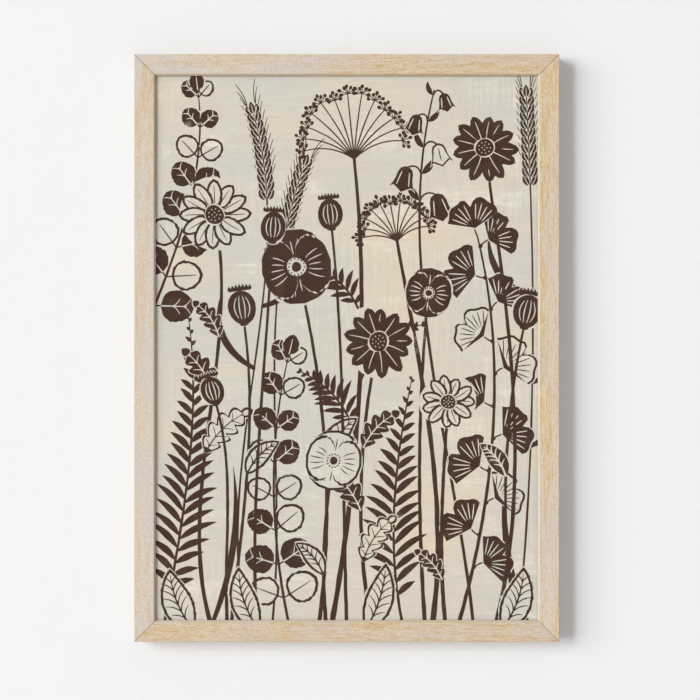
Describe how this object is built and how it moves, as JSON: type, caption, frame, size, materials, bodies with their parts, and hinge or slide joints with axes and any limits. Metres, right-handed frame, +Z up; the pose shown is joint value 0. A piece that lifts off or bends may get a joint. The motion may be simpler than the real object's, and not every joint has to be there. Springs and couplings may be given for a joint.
{
  "type": "framed botanical print",
  "caption": "Tall wooden picture frame with mitred pale rails, a glass pane and a dark plant print, hung by a sawtooth hanger.",
  "frame": {"origin": "point of the wall nail under the middle notch of the sawtooth hanger, in the plane of the wall", "axes": "+Y into the wall, so the picture faces -Y; +Z up along the frame's height; +X to the right of someone who looks at the picture"},
  "size_m": [0.456, 0.029, 0.63],
  "materials": {
    "wood": "pale wood, clear matt lacquer, fine golden grain along each rail",
    "glass": "clear picture glass, 1.5 mm",
    "paper": "matt art paper, mottled beige ground with dark brown plants printed on it",
    "board": "brown hardboard, fine fibres",
    "steel": "zinc-plated sheet and wire",
    "rubber": "soft matt black"
  },
  "bodies": {
    "root": {"rail_top": "wood", "rail_bottom": "wood", "rail_left": "wood", "rail_right": "wood", "glass_pane": "glass", "botanical_print": "paper", "backing_board": "board", "spring_tab_top_1": "steel", "spring_tab_top_2": "steel", "spring_tab_bottom_1": "steel", "spring_tab_bottom_2": "steel", "spring_tab_left_1": "steel", "spring_tab_left_2": "steel", "spring_tab_left_3": "steel", "spring_tab_right_1": "steel", "spring_tab_right_2": "steel", "spring_tab_right_3": "steel", "v_nail_top_left_1": "steel", "v_nail_top_left_2": "steel", "v_nail_top_right_1": "steel", "v_nail_top_right_2": "steel", "v_nail_bottom_left_1": "steel", "v_nail_bottom_left_2": "steel", "v_nail_bottom_right_1": "steel", "v_nail_bottom_right_2": "steel", "sawtooth_hanger": "steel", "hanger_nail_left": "steel", "hanger_nail_right": "steel", "bumper_left": "rubber", "bumper_right": "rubber"}
  },
  "joints": []
}
